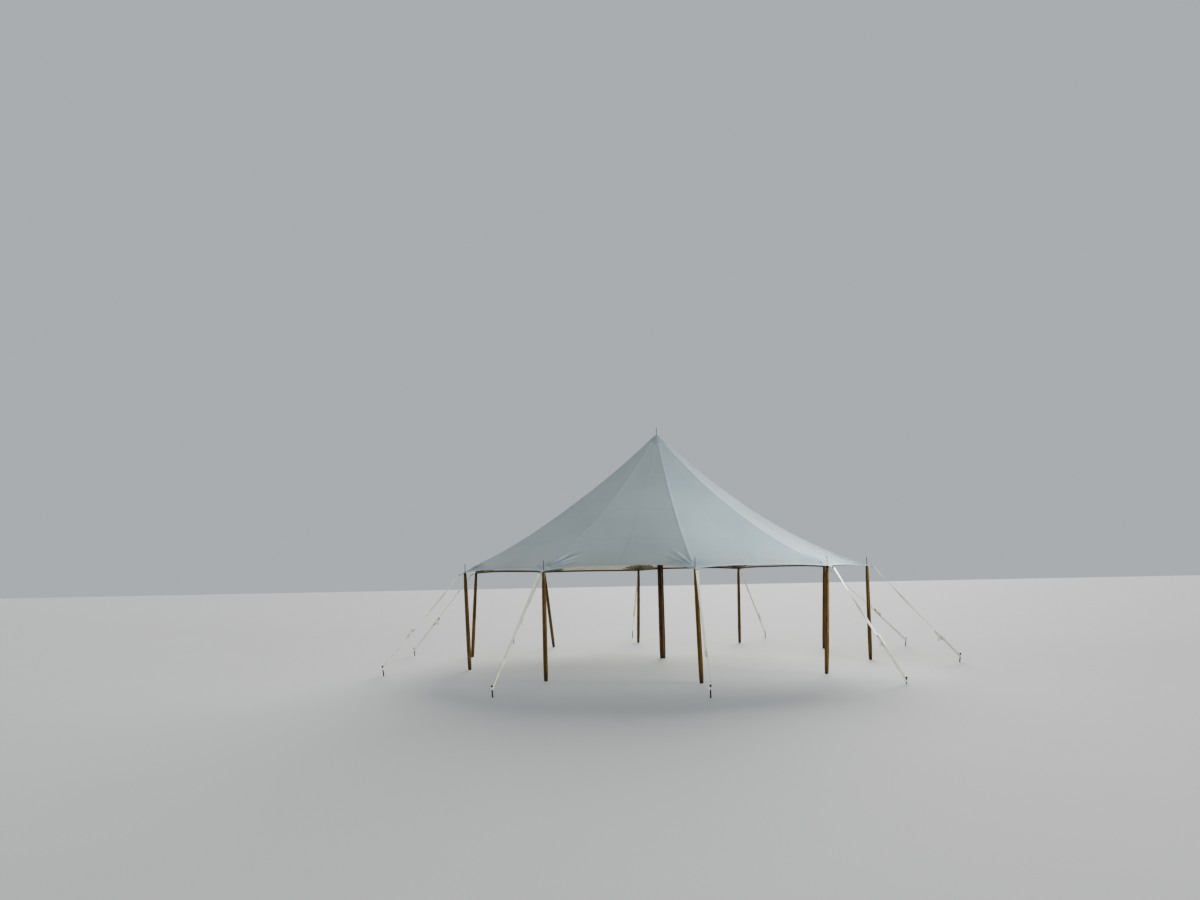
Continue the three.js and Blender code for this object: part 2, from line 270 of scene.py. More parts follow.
def wood_material(name, pale, mid, deep):
    """Turned and stained pole: long grain, a few knots, rubbed places and a damp, dirty foot."""
    s = Shader(name)
    fine = s.noise(s.coordinates(scale=(1, 1, 0.045)), 210, 5, 0.6, 0.3)
    bands = s.noise(s.coordinates(scale=(1, 1, 0.09)), 34, 6, 0.62, 1.1)
    tone = s.ramp(bands, [(0.30, deep), (0.50, mid), (0.72, pale)])
    tone = s.mix(s.span(fine, 0.42, 0.70, 0.0, 0.55), tone, tinted(deep, 0.45))
    cells = {"Vector": s.coordinates(scale=(9, 9, 2.1)), "Scale": 1.0}
    knots = s.node("TexVoronoi", cells, feature="F1").outputs["Distance"]
    tone = s.mix(s.math("MULTIPLY", s.span(knots, 0.20, 0.05), 0.8), tone, tinted(deep, 0.3))
    height = s.node("SeparateXYZ", {0: s.coordinates()}).outputs["Z"]
    blotch = s.noise(s.coordinates(scale=(1, 1, 0.5)), 9, 5, 0.6)
    foot = s.math("MULTIPLY", s.span(height, DAMP_HEIGHT, 0.0), s.span(blotch, 0.3, 0.7, 0.35, 1.0))
    tone = s.mix(foot, tone, DAMP_FOOT)
    tone = s.mix(s.span(blotch, 0.60, 0.74, 0.0, 0.35), tone, tinted(pale, 1.35))
    grain = s.bump(s.math("ADD", fine, s.math("MULTIPLY", bands, 0.7)), 0.35, GRAIN_DEPTH)
    roughness = s.span(blotch, 0.35, 0.65, 0.34, 0.62)
    return s.finish(s.principled(tone, roughness, Normal=grain, Specular_IOR_Level=0.2, Coat_Weight=0.03))


PITTING_DEPTH = 0.0009


def steel_material(name, bright, dark, rust, rust_share):
    """Worn metal, mottled from dark to bright, with rust or tarnish over about the given share."""
    s = Shader(name)
    mottled = s.noise(s.coordinates(), 46, 6, 0.65)
    patches = s.noise(s.coordinates(), 14, 5, 0.6)
    tone = s.mix(s.span(mottled, 0.35, 0.68), dark, bright)
    edge = 1 - rust_share
    tone = s.mix(s.span(patches, edge - 0.08, edge + 0.08), tone, rust)
    pitting = s.bump(mottled, 0.25, PITTING_DEPTH)
    return s.finish(s.principled(tone, s.span(mottled, 0.3, 0.7, 0.32, 0.6), Normal=pitting, Metallic=0.9))


# The sailcloth is off-white. Its blue-grey tone here, and the hem cloth's, is partly painted shade and a
# painted reflection of blue sky light.
canvas = cloth_material(
    "sailcloth", (0.462, 0.560, 0.628), (0.408, 0.503, 0.570), glow=(1.0, 0.86, 0.60), share=0.45)
hem_canvas = cloth_material(
    "hem_cloth", (0.500, 0.565, 0.610), (0.445, 0.505, 0.550), glow=(0.90, 0.82, 0.66), share=0.25)
# The patch layers are the same cream cloth as the canopy. Their dark olive tones are painted shade, tinted by
# a painted reflection of green ground, where the thick layers stop the light coming through the cloth.
patch_canvas = cloth_material(
    "patch_cloth", (0.27, 0.25, 0.16), (0.20, 0.18, 0.11), glow=(0.5, 0.4, 0.25), share=0.06)
patch_core = cloth_material(
    "patch_core", (0.125, 0.108, 0.066), (0.078, 0.066, 0.040), glow=(0.3, 0.2, 0.1), share=0.03)
ridge_web = webbing_material("ridge_webbing", (0.62, 0.58, 0.47), (0.47, 0.43, 0.34))
guy_web = webbing_material("guy_webbing", (0.93, 0.915, 0.77), (0.76, 0.74, 0.60))
# The band inside the hem is coloured near-black as painted shade: the hem there is cream cloth that gets no
# light.
inner_hem_shade_web = webbing_material("inner_hem_shaded", (0.090, 0.082, 0.060), (0.048, 0.044, 0.032), COARSE_RIB_PITCH)
pole_wood = wood_material(
    "pole_wood", (0.205, 0.120, 0.030), (0.118, 0.067, 0.0155), (0.052, 0.028, 0.0085))
centre_wood = wood_material(
    "centre_wood", (0.130, 0.064, 0.020), (0.070, 0.032, 0.010), (0.030, 0.013, 0.005))
pin_steel = steel_material(
    "pin_steel", (0.115, 0.115, 0.12), (0.04, 0.04, 0.042), (0.13, 0.055, 0.025), 0.30)
ring_steel = steel_material(
    "ring_steel", (0.21, 0.21, 0.215), (0.10, 0.10, 0.105), (0.15, 0.07, 0.03), 0.26)
stake_steel = steel_material(
    "stake_steel", (0.07, 0.068, 0.066), (0.02, 0.02, 0.02), (0.12, 0.05, 0.022), 0.36)
brass = steel_material("brass", (0.62, 0.44, 0.17), (0.35, 0.24, 0.09), (0.12, 0.15, 0.09), 0.25)


# Mesh helpers


def piece(name, verts, faces, material, replaces=(), uv=None, attributes=None):
    """A smooth mesh that rides the body. uv and each attribute hold one value for each vertex."""
    mesh = bpy.data.meshes.new(name)
    mesh.from_pydata([tuple(v) for v in verts], [], faces)
    mesh.materials.append(material)
    mesh.polygons.foreach_set("use_smooth", [True] * len(mesh.polygons))
    if uv is not None:
        corners = np.empty(len(mesh.loops), dtype=np.int32)
        mesh.loops.foreach_get("vertex_index", corners)
        set_uv(mesh, np.asarray(uv, dtype=np.float32)[corners])
    for key, values in (attributes or {}).items():
        mesh.attributes.new(key, "FLOAT", "POINT").data.foreach_set("value", np.asarray(values, np.float32))
    mesh.update()
    made = place_in_scene(name, mesh)
    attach(made, BODY)
    if replaces:
        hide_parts(*replaces)
    return made


def set_uv(mesh, uv):
    """UVs in metres, one pair for each face corner."""
    mesh.uv_layers.new(name="metres").data.foreach_set("uv", np.asarray(uv, dtype=np.float32).ravel())


def turns(count):
    """The angles of a full turn in equal steps."""
    return [2 * math.pi * k / count for k in range(count)]


def circle(centre, first, second, radius, count):
    """Points round a centre, from the first direction towards the second."""
    return [centre + (first * math.cos(a) + second * math.sin(a)) * radius for a in turns(count)]


# How much of the wood's pattern goes round a turned form
LATHE_GIRTH = 0.15


class Builder:
    """Gathers several closed forms into one mesh."""

    def __init__(self):
        self.verts, self.faces, self.uv = [], [], []

    def grid(self, rows, uv, closed=False):
        """A skin over rings of points, capped at both ends, or closed from the last ring to the first."""
        start, count = len(self.verts), len(rows[0])
        rings = [range(start + r * count, start + (r + 1) * count) for r in range(len(rows))]
        for ring, other in zip(rings, rings[1:] + rings[:1] * closed):
            for c in range(count):
                d = (c + 1) % count
                self.faces.append((ring[c], ring[d], other[d], other[c]))
        if not closed:
            self.faces += [tuple(reversed(rings[0])), tuple(rings[-1])]
        self.verts += [p for row in rows for p in row]
        self.uv += uv

    def lathe(self, profile, sides, place=lambda p: p):
        """A turned form about +Z, capped at both ends, each point then moved by place."""
        rows, uv = [], []
        for (radius, z), run in zip(profile, runs([Vector((r, 0, z)) for r, z in profile])):
            rows.append([place(p) for p in circle(UP * z, EAST, NORTH, radius, sides)])
            uv += [(j / sides * LATHE_GIRTH, run) for j in range(sides)]
        self.grid(rows, uv)

    def ring(self, points, radius, sides):
        """A round bar along a closed loop of points."""
        rows, uv = [], []
        for (p, normal, side), run in zip(loop_frames(points), runs(points)):
            rows.append(circle(p, normal, side, radius, sides))
            uv += [(a * radius, run) for a in turns(sides)]
        self.grid(rows, uv, closed=True)

    def ribbon(self, points, across, width, thickness):
        """Flat webbing along points: across gives the width's direction at each point."""
        half, deep = width / 2, thickness / 2
        shoulder, middle = half - min(half, thickness * 0.9), half * 0.33
        under = [(-half, 0), (-shoulder, -deep), (-middle, -deep), (middle, -deep), (shoulder, -deep)]
        section = under + [(-u, -v) for u, v in under]
        rows, uv = [], []
        for p, along, wide, run in zip(points, directions(points), across, runs(points)):
            wide = (wide - along * wide.dot(along)).normalized()
            normal = along.cross(wide)
            rows.append([p + wide * u + normal * v for u, v in section])
            uv += [(u + half, run) for u, v in section]
        self.grid(rows, uv)

    def make(self, name, material, slot, replaces=()):
        made = piece(name, self.verts, self.faces, material, replaces, self.uv)
        work = bmesh.new()
        work.from_mesh(made.data)
        bmesh.ops.recalc_face_normals(work, faces=work.faces)
        work.to_mesh(made.data)
        work.free()
        return made


def runs(points):
    """How far along a path each of its points lies."""
    return np.cumsum([0.0] + [(b - a).length for a, b in zip(points, points[1:])])


def directions(points):
    """The way an open path runs at each of its points."""
    last = len(points) - 1
    return [(points[min(k + 1, last)] - points[max(k - 1, 0)]).normalized() for k in range(len(points))]


def loop_frames(points):
    """Each point of a closed loop with a normal and a side, carried along without twist."""
    total = len(points)
    tangents = [(points[(k + 1) % total] - points[k - 1]).normalized() for k in range(total)]
    seed = UP if abs(tangents[0].z) < 0.9 else EAST
    normal = (seed - tangents[0] * seed.dot(tangents[0])).normalized()
    frames = []
    for point, tangent in zip(points, tangents):
        normal = (normal - tangent * normal.dot(tangent)).normalized()
        frames.append((point, normal, tangent.cross(normal)))
    return frames


def smooth_path(points, steps):
    """A curve through listed points, with the given steps between each pair."""
    out = []
    for k in range(len(points) - 1):
        p0 = points[max(k - 1, 0)]
        p1, p2 = points[k], points[k + 1]
        p3 = points[min(k + 2, len(points) - 1)]
        for j in range(steps):
            t = j / steps
            out.append(0.5 * ((2 * p1) + (p2 - p0) * t + (2 * p0 - 5 * p1 + 4 * p2 - p3) * t * t
                              + (3 * p1 - p0 - 3 * p2 + p3) * t ** 3))
    out.append(points[-1].copy())
    return out


# Places on the tent


def pole_angle(index):
    return FIRST_ANGLE - index * BAY_ANGLE


def outward(index):
    a = pole_angle(index)
    return Vector((math.cos(a), math.sin(a), 0))


def sideways(index):
    a = pole_angle(index)
    return Vector((-math.sin(a), math.cos(a), 0))


def by_pole(index, out, aside, height):
    p = outward(index) * (TENT_RADIUS + out) + sideways(index) * aside
    p.z = height
    return p


def ridge_height(angle, radius):
    s = (radius - CROWN_RADIUS) / (TENT_RADIUS - CROWN_RADIUS)
    sag = RIDGE_SAG + SAG_LEAN * np.cos(angle)
    return EAVE_HEIGHT + (PEAK_HEIGHT - EAVE_HEIGHT) * (1 - s) * (1 - sag * s)


def corner_line(index):
    """Where the corner webbing leaves the pole, and the way it runs: on down the ridge."""
    def on_ridge(out):
        height = float(ridge_height(pole_angle(index), TENT_RADIUS + out))
        return by_pole(index, out, 0, height - SOLID_CLOTH / 2)
    return on_ridge(0), (on_ridge(CORNER_REACH) - on_ridge(0)).normalized()


# The folds that fan out from each corner, by their bearings from the ridge in degrees. On a corner's strong
# side they are longer, higher, wider and further apart: 1 is its right, seen from outside
CREASE_BEARINGS = (-57, 59)
CREASE_STEPS = (7.5, 13)
CREASE_BENDS = (2, 13)
CREASE_LENGTHS = (0.38, 0.78)
CREASE_HEIGHTS = (0.007, 0.013)
CREASE_START = (0.05, 0.20)
CREASE_FADE = 0.45
CREASE_WIDTH = 0.012
CREASE_SPREAD = 0.025
CREASE_REACH = 1.25
DIP_DEPTH = 0.35
DIP_WIDTH = 2.1
RIDGE_CLEAR = 4
STRONG_FROM = 6
STRONG_LENGTH = 0.45
STRONG_HEIGHT = 3.6
STRONG_WIDTH = 1.75
STRONG_STEP = 3.5
STRONG_SIDES = [-1, 1, -1, 1, 1, -1, 1, -1, -1, 1]
SLACK = 0.006


def corner_creases():
    """For each corner its folds, as bearing from the ridge, bend, length, height and width."""
    rng = random.Random(7)
    fans = []
    for index in range(SIDE_COUNT):
        fan = []
        bearing = CREASE_BEARINGS[0] + rng.uniform(0, 4)
        while bearing < CREASE_BEARINGS[1]:
            length, height = rng.uniform(*CREASE_LENGTHS), rng.uniform(*CREASE_HEIGHTS)
            width, step = 1, 0
            if bearing * STRONG_SIDES[index] > STRONG_FROM:
                length, height = length + STRONG_LENGTH, height * STRONG_HEIGHT
                width, step = STRONG_WIDTH, STRONG_STEP
            if abs(bearing) > RIDGE_CLEAR:
                bend = rng.uniform(*CREASE_BENDS) * bearing / 50
                fan.append((math.radians(bearing), math.radians(bend), length, height, width))
            bearing += rng.uniform(*CREASE_STEPS) + step
        fans.append(fan)
    return fans


CREASES = corner_creases()


def smoothstep(low, high, x):
    t = np.clip((x - low) / (high - low), 0, 1)
    return t * t * (3 - 2 * t)


def crease_height(x, y):
    """Height of the folds that run up the cloth from each corner, at points in plan."""
    shape = x.shape
    x, y = x.ravel(), y.ravel()
    total = np.zeros_like(x)
    for index in range(SIDE_COUNT):
        out, side = outward(index), sideways(index)
        dx, dy = x - TENT_RADIUS * out.x, y - TENT_RADIUS * out.y
        reached = np.nonzero(dx * dx + dy * dy < CREASE_REACH ** 2)[0]
        if not len(reached):
            continue
        dx, dy = dx[reached], dy[reached]
        inward = -(dx * out.x + dy * out.y)
        aside = dx * side.x + dy * side.y
        reach = np.hypot(inward, aside)
        bearing = np.arctan2(aside, inward)
        for place, bend, length, height, broad in CREASES[index]:
            off = reach * np.sin(np.clip(bearing - place - bend * reach, -1.5, 1.5))
            width = (CREASE_WIDTH + CREASE_SPREAD * reach) * broad
            grown = smoothstep(*CREASE_START, reach) * (1 - smoothstep(length * CREASE_FADE, length, reach))
            fold = np.exp(-((off / width) ** 2)) - DIP_DEPTH * np.exp(-((off / (DIP_WIDTH * width)) ** 2))
            total[reached] += height * grown * fold
    return total.reshape(shape)


# The solid's eave is cut in with a power of 2. A higher one leaves the corners standing out as ears
EAR_POWER = 4


def eave_cut(bay, across):
    """How far the eave is cut in from a straight line between two corners."""
    return EAVE_SCALLOPS[bay % SIDE_COUNT] * (1 - (2 * across - 1) ** EAR_POWER)


def eave_radius(bay, across):
    """The eave's radius, and how much nearer a straight eave is than its corners are."""
    nearer = math.cos(BAY_ANGLE / 2) / np.cos(BAY_ANGLE * (0.5 - across))
    return (TENT_RADIUS + CORNER_REACH) * nearer - eave_cut(bay, across), nearer


def cloth_xyz(bay, across, down):
    """The cloth's upper face, as arrays: bay and across from 0 to 1, down from crown to eave."""
    angle = FIRST_ANGLE - BAY_ANGLE * (bay + across)
    eave, nearer = eave_radius(bay, across)
    radius = CROWN_RADIUS + (eave - CROWN_RADIUS) * down
    corner = CROWN_RADIUS + (radius - CROWN_RADIUS) / nearer
    x, y = radius * np.cos(angle), radius * np.sin(angle)
    z = ridge_height(angle, corner) + crease_height(x, y)
    slack = np.sin(2.1 * x + 1.3 * y + 0.7) * np.sin(1.7 * y - 1.1 * x) * smoothstep(0.5, 1.6, radius)
    return np.stack([x, y, z + SLACK * slack], axis=-1)


def cloth_points(bay, across, down, lift=0.0):
    """Points of the cloth, each lifted off it along its normal, and the normals."""
    step = 1e-3
    p = cloth_xyz(bay, across, down)
    du = cloth_xyz(bay, across + step, down) - cloth_xyz(bay, across - step, down)
    dv = cloth_xyz(bay, across, down + step) - cloth_xyz(bay, across, down - step)
    normal = np.cross(du, dv)
    normal /= np.linalg.norm(normal, axis=-1, keepdims=True)
    normal *= np.where(normal[..., 2:] < 0, -1, 1)
    return p + normal * lift, normal


# Canopy cloth


# As real cloth and webbing are, where the solids' are thicker
CLOTH_THICKNESS = 0.0022
STRAP = 0.0024
# A fold this high gets the full painted highlight along its crest
FULL_FOLD = 0.032
# Across half a bay, the columns are even by the ridge and then each is wider than the one before
EVEN_COLUMNS, GROWING_COLUMNS, COLUMN_GROWTH = 22, 14, 1.168
# From the eave up, each row is taller than the one before. Above FINE_ROWS every other column is left out
ROWS, ROW_GROWTH, FINE_ROWS = 92, 1.03, 37


def bay_columns():
    """Places across a bay from 0 to 1, closest by the ridges, where the folds are."""
    growing = [COLUMN_GROWTH ** (k + 1) for k in range(GROWING_COLUMNS)]
    half = np.cumsum([0.0] + [1.0] * EVEN_COLUMNS + growing)
    half *= 0.5 / half[-1]
    return np.concatenate([half, 1 - half[-2::-1]])


ACROSS = bay_columns()


def canopy():
    """The whole cloth as one closed sheet, row by row from the eave up to the crown."""
    steps = np.cumsum(np.concatenate([[0.0], ROW_GROWTH ** np.arange(ROWS)]))
    bays = np.arange(SIDE_COUNT)[:, None]
    edge = cloth_xyz(bays, ACROSS, 1.0)
    upper, lower, from_eave, fold, place, first = [], [], [], [], [], []
    for r, down in enumerate(1 - steps / steps[-1]):
        skip = 1 if r <= FINE_ROWS else 2
        across = ACROSS[::skip]
        top, normal = cloth_points(bays, across, down)
        fall = np.linalg.norm(top - edge[:, ::skip], axis=-1)
        girth = np.hypot(top[..., 0], top[..., 1]) * BAY_ANGLE * (across - 0.5)
        first.append(sum(len(u) for u in upper))
        upper.append(top[:, :-1].reshape(-1, 3))
        lower.append((top - normal * CLOTH_THICKNESS)[:, :-1].reshape(-1, 3))
        from_eave.append(fall[:, :-1].ravel())
        fold.append(crease_height(top[:, :-1, 0], top[:, :-1, 1]).ravel() / FULL_FOLD)
        place.append(np.stack([girth, -fall], axis=-1))
    faces, uv = cloth_faces(first, place, sum(len(u) for u in upper))
    made = piece("canopy_cloth", np.concatenate(upper + lower), faces, canvas, ("canopy",),
                 attributes={"from_eave": np.tile(np.concatenate(from_eave), 2),
                             "fold": np.tile(np.concatenate(fold), 2)})
    set_uv(made.data, uv)
    return made


def cloth_faces(first, place, count):
    """Faces of both sides of the cloth and of its two edges, and the UVs of their corners.

    first holds each row's first vertex, place its UVs by bay and column, and count the upper side's vertices.
    """
    faces, uv = [], []
    for r in range(ROWS):
        above = place[r + 1].shape[1] - 1
        share = (place[r].shape[1] - 1) // above
        for bay in range(SIDE_COUNT):
            for j in range(above):
                low = [(r, share * j + k) for k in range(share, -1, -1)]
                ring, spots = [], []
                for row, column in [(r + 1, j), (r + 1, j + 1)] + low:
                    total = place[row].shape[1] - 1
                    ring.append(first[row] + (bay * total + column) % (SIDE_COUNT * total))
                    spots.append(place[row][bay, column])
                faces += [ring, [count + v for v in reversed(ring)]]
                uv += spots + spots[::-1]
    for r, flip in ((0, False), (ROWS, True)):
        columns = place[r].shape[1] - 1
        total = SIDE_COUNT * columns
        for j in range(total):
            a, b = first[r] + j, first[r] + (j + 1) % total
            ring = [a, b, count + b, count + a]
            faces.append(ring[::-1] if flip else ring)
            uv += [place[r][j // columns, j % columns]] * 4
    return faces, uv


def strip_on_cloth(builder, bay, across_path, down_path, width, lift, thickness):
    """A flat strip along a path on the cloth; lift is its middle's height over the cloth's upper face."""
    places, normals = cloth_points(bay, across_path, down_path, lift)
    points = [Vector(p) for p in places]
    across = [along.cross(Vector(n)) for along, n in zip(directions(points), normals)]
    builder.ribbon(points, across, width, thickness)


def beside_ridge(index, down, distance):
    """The gores on either side of a ridge, each with its places across at the distance from the ridge."""
    offset = distance / ((CROWN_RADIUS + (TENT_RADIUS - CROWN_RADIUS) * down) * BAY_ANGLE)
    return ((index - 1) % SIDE_COUNT, 1 - offset), (index, offset)


SEAM_RISE = 0.0012
SEAM_THICKNESS = 0.0012
GORE_SEAM_WIDTH = 0.0144
CROSS_SEAM_WIDTH = 0.0112
RIDGE_SEAM_WIDTH = 0.034
RIDGE_SEAM_THICKNESS = 0.0014
OVERLAP = 0.001
# Where seams start and end down a gore, where they cross it, and where those end across it
SEAM_START = 0.045
RIDGE_SEAM_END = 0.985
GORE_SEAM_END = 0.988
CROSS_SEAMS = (0.30, 0.53, 0.765)
CROSS_SEAM_INSET = 0.008


def seams():
    """Flat seams on the upper face: a wide one over each ridge, one down each gore, and three across it."""
    made = Builder()
    columns = ACROSS[::2]
    inside = columns[(columns > CROSS_SEAM_INSET) & (columns < 1 - CROSS_SEAM_INSET)]
    down = np.linspace(SEAM_START, RIDGE_SEAM_END, 150)
    middle = np.linspace(SEAM_START, GORE_SEAM_END, 130)
    for index in range(SIDE_COUNT):
        for bay, across in beside_ridge(index, down, RIDGE_SEAM_WIDTH / 2 - OVERLAP):
            strip_on_cloth(made, bay, across, down, RIDGE_SEAM_WIDTH, SEAM_RISE, RIDGE_SEAM_THICKNESS)
        strip_on_cloth(made, index, 0.5, middle, GORE_SEAM_WIDTH, SEAM_RISE, SEAM_THICKNESS)
        for place in CROSS_SEAMS:
            strip_on_cloth(made, index, inside, place, CROSS_SEAM_WIDTH, SEAM_RISE, SEAM_THICKNESS)
    return made.make("canopy_seams", hem_canvas, "canvas")


RIDGE_WEB_ENDS = (0.006, 0.906)
RIDGE_WEB_DEPTH = 0.0022


def ridge_webs():
    """Webbing sewn under each ridge, half on either gore, from the crown out to the corner patches."""
    made = Builder()
    down = np.linspace(*RIDGE_WEB_ENDS, 120)
    width, lift = WEBBING_WIDTH / 2 + OVERLAP, -CLOTH_THICKNESS - RIDGE_WEB_DEPTH
    for index in range(SIDE_COUNT):
        for bay, across in beside_ridge(index, down, WEBBING_WIDTH / 4):
            strip_on_cloth(made, bay, across, down, width, lift, STRAP)
    return made.make("ridge_webbing", ridge_web, "webbing")


# The cloth's length from crown to eave
CLOTH_RUN = 5.6
BAND_POINTS = 9
HEM_WIDTH = 0.060
HEM_RISE = 0.0012
HEM_THICKNESS = 0.0018
HEM_ROLL_RADIUS = 0.0038
INNER_HEM_WIDTH = 0.105
INNER_HEM_DEPTH = 0.0014
INNER_HEM_THICKNESS = 0.0020
BAND_INSET = 0.001


def along_eave(inset, lift):
    """Points of the cloth all round, the given distance in from its edge."""
    down = 1 - inset / CLOTH_RUN
    return [Vector(p) for bay in range(SIDE_COUNT) for p in cloth_points(bay, ACROSS[:-1], down, lift)[0]]


def eave_band(builder, width, lift, thickness):
    """A closed band sewn along the eave, following the cloth across its width."""
    places = np.linspace(BAND_INSET, BAND_INSET + width, BAND_POINTS)
    over = [along_eave(place, lift + thickness / 2) for place in places]
    under = [along_eave(place, lift - thickness / 2) for place in places[::-1]]
    uv = [(place, run) for run in runs(over[0]) for place in (*places, *places[::-1])]
    builder.grid(list(zip(*over, *under)), uv, closed=True)


def eave_hem():
    """The hem: a band on the cloth's outer face, and the rolled edge."""
    made = Builder()
    eave_band(made, HEM_WIDTH, HEM_RISE, HEM_THICKNESS)
    made.ring(along_eave(0, -CLOTH_THICKNESS / 2), HEM_ROLL_RADIUS, 8)
    return made.make("eave_hem", hem_canvas, "canvas")


def inner_hem_shaded():
    """A band on the inside of the hem, coloured near-black as painted shade, where the thick hem lets no
    light through.
    """
    made = Builder()
    eave_band(made, INNER_HEM_WIDTH, -CLOTH_THICKNESS - INNER_HEM_DEPTH, INNER_HEM_THICKNESS)
    return made.make("inner_hem_shaded", inner_hem_shade_web, "webbing")


# Layers of cloth at a corner, each by how far it lies below the cloth's upper face or above it
FINGER_DEPTH = CLOTH_THICKNESS + 0.0035
FAN_DEPTH = FINGER_DEPTH + 0.0021
CORE_DEPTH = FINGER_DEPTH + 0.0042
CORE_FAN_DEPTH = FINGER_DEPTH + 0.0062
FACING_RISE = 0.0022
# Fingers by how many, the degrees between them and their width; a long finger grows towards the eave
LONG_FINGERS, LONG_FINGER_STEP, LONG_FINGER_WIDTH = 11, 12, 0.064
CORE_FINGERS, CORE_FINGER_STEP, CORE_FINGER_WIDTH = 7, 18, 0.048
MIDDLE_FINGER, FINGER_GROWTH, CORE_FINGER = 0.46, 0.20, 0.24
# Fans by their reach and number of lobes
WEB_FAN, CORE_FAN, FACING_FAN = (0.30, 8), (0.15, 6), (0.13, 6)


def corner_patches():
    """Layers of cloth at each corner: long fingers, a lobed fan and a darker core below, a facing above. The
    layers below are coloured dark as painted shade.
    """
    under, core, over = Builder(), Builder(), Builder()
    rng = random.Random(11)
    for index in range(SIDE_COUNT):
        middle = LONG_FINGERS // 2
        for k in range(-middle, middle + 1):
            length = (MIDDLE_FINGER + FINGER_GROWTH * abs(k) / middle) * rng.uniform(0.88, 1.0)
            finger(under, index, math.radians(LONG_FINGER_STEP * k), length, LONG_FINGER_WIDTH, -FINGER_DEPTH)
        fan(under, index, *WEB_FAN, -FAN_DEPTH)
        middle = CORE_FINGERS // 2
        for k in range(-middle, middle + 1):
            length = CORE_FINGER * rng.uniform(0.92, 1.0)
            finger(core, index, math.radians(CORE_FINGER_STEP * k), length, CORE_FINGER_WIDTH, -CORE_DEPTH)
        fan(core, index, *CORE_FAN, -CORE_FAN_DEPTH)
        fan(over, index, *FACING_FAN, FACING_RISE)
    return [under.make("corner_patches", patch_canvas, "canvas"),
            core.make("corner_cores", patch_core, "canvas"),
            over.make("corner_facings", hem_canvas, "canvas")]


# Half of a layer's thickness
PATCH_DEEP = 0.0009
FAN_SPREAD = math.radians(60)
FAN_COLUMNS, FAN_ROWS = 49, 9
FAN_START = 0.02
LOBE_CUT = 0.14


def fan(builder, index, reach, lobes, lift):
    """A thin fan of cloth about a corner's pin, its outer edge cut in lobes."""
    bearings = np.linspace(-FAN_SPREAD, FAN_SPREAD, FAN_COLUMNS)
    lobe = np.abs(np.sin(lobes * (bearings + FAN_SPREAD) / (2 * FAN_SPREAD) * math.pi))
    outer = reach * (1 - LOBE_CUT + LOBE_CUT * np.sqrt(lobe))
    share = np.linspace(0, 1, FAN_ROWS)
    rows, uv = [], []
    for bearing, edge in zip(bearings, outer):
        far = FAN_START + (edge - FAN_START) * share
        top, bottom = layer(index, far * math.cos(bearing), far * math.sin(bearing), lift)
        rows.append(top + bottom[::-1])
        uv += [(bearing * reach * t, reach * t) for t in (*share, *share[::-1])]
    builder.grid(rows, uv)


def layer(index, inward, aside, lift):
    """The upper and the lower face's points of a layer sewn on the cloth."""
    placed = list(zip(*on_cloth_by_pole(index, inward, aside, lift)))
    return [p + n * PATCH_DEEP for p, n in placed], [p - n * PATCH_DEEP for p, n in placed]


FINGER_START = 0.03
FINGER_ROWS, FINGER_COLUMNS = 15, 7
# Its width at the pin as a share, and how far along its rounded tip starts
FINGER_NECK, FINGER_TIP = 0.55, 0.8


def finger(builder, index, bearing, length, width, lift):
    """One tapering strip that runs up the cloth from a corner's pin and follows its folds."""
    t = np.linspace(0, 1, FINGER_ROWS)[:, None]
    spread = np.linspace(-1, 1, FINGER_COLUMNS)
    reach = FINGER_START + (length - FINGER_START) * t
    tip = np.maximum(0, (t - FINGER_TIP) / (1 - FINGER_TIP))
    share = (FINGER_NECK + (1 - FINGER_NECK) * np.minimum(1, t * 2)) * np.sqrt(1.02 - tip * tip)
    offset = width / 2 * share * spread
    inward = reach * math.cos(bearing) - offset * math.sin(bearing)
    aside = reach * math.sin(bearing) + offset * math.cos(bearing)
    top, bottom = layer(index, inward.ravel(), aside.ravel(), lift)
    rows, uv = [], []
    for k in range(FINGER_ROWS):
        own = slice(k * FINGER_COLUMNS, (k + 1) * FINGER_COLUMNS)
        rows.append(top[own] + bottom[own][::-1])
        uv += [(u, t[k, 0] * length) for u in (*offset[k], *offset[k][::-1])]
    builder.grid(rows, uv)


def on_cloth_by_pole(index, inward, aside, lift):
    """Points of the cloth by their places in plan from a pole, and the cloth's normals there."""
    inward, aside = np.atleast_1d(inward), np.atleast_1d(aside)
    out, side = outward(index), sideways(index)
    x = out.x * (TENT_RADIUS - inward) + side.x * aside
    y = out.y * (TENT_RADIUS - inward) + side.y * aside
    turned = ((FIRST_ANGLE - np.arctan2(y, x)) / BAY_ANGLE + 1e-9) % SIDE_COUNT
    bay = np.floor(turned).astype(int) % SIDE_COUNT
    across = turned - np.floor(turned)
    eave, _ = eave_radius(bay, across)
    down = np.minimum(1.0, (np.hypot(x, y) - CROWN_RADIUS) / (eave - CROWN_RADIUS))
    points, normals = cloth_points(bay, across, down, lift)
    return [Vector(p) for p in points], [Vector(n) for n in normals]


# The cap's top as radius and height over the peak, then how far down the cloth it reaches
CAP_TOP = [(0.012, 0.004), (0.040, 0.004), (0.058, 0.0015)]
CAP_PLACES = [0.004, 0.014, 0.028, 0.042, 0.052]
CAP_RISE = 0.0024
CAP_THICKNESS = 0.0045
CAP_SIDES = 60
# Where across a bay the cap's profile is taken
CAP_ACROSS = 0.25


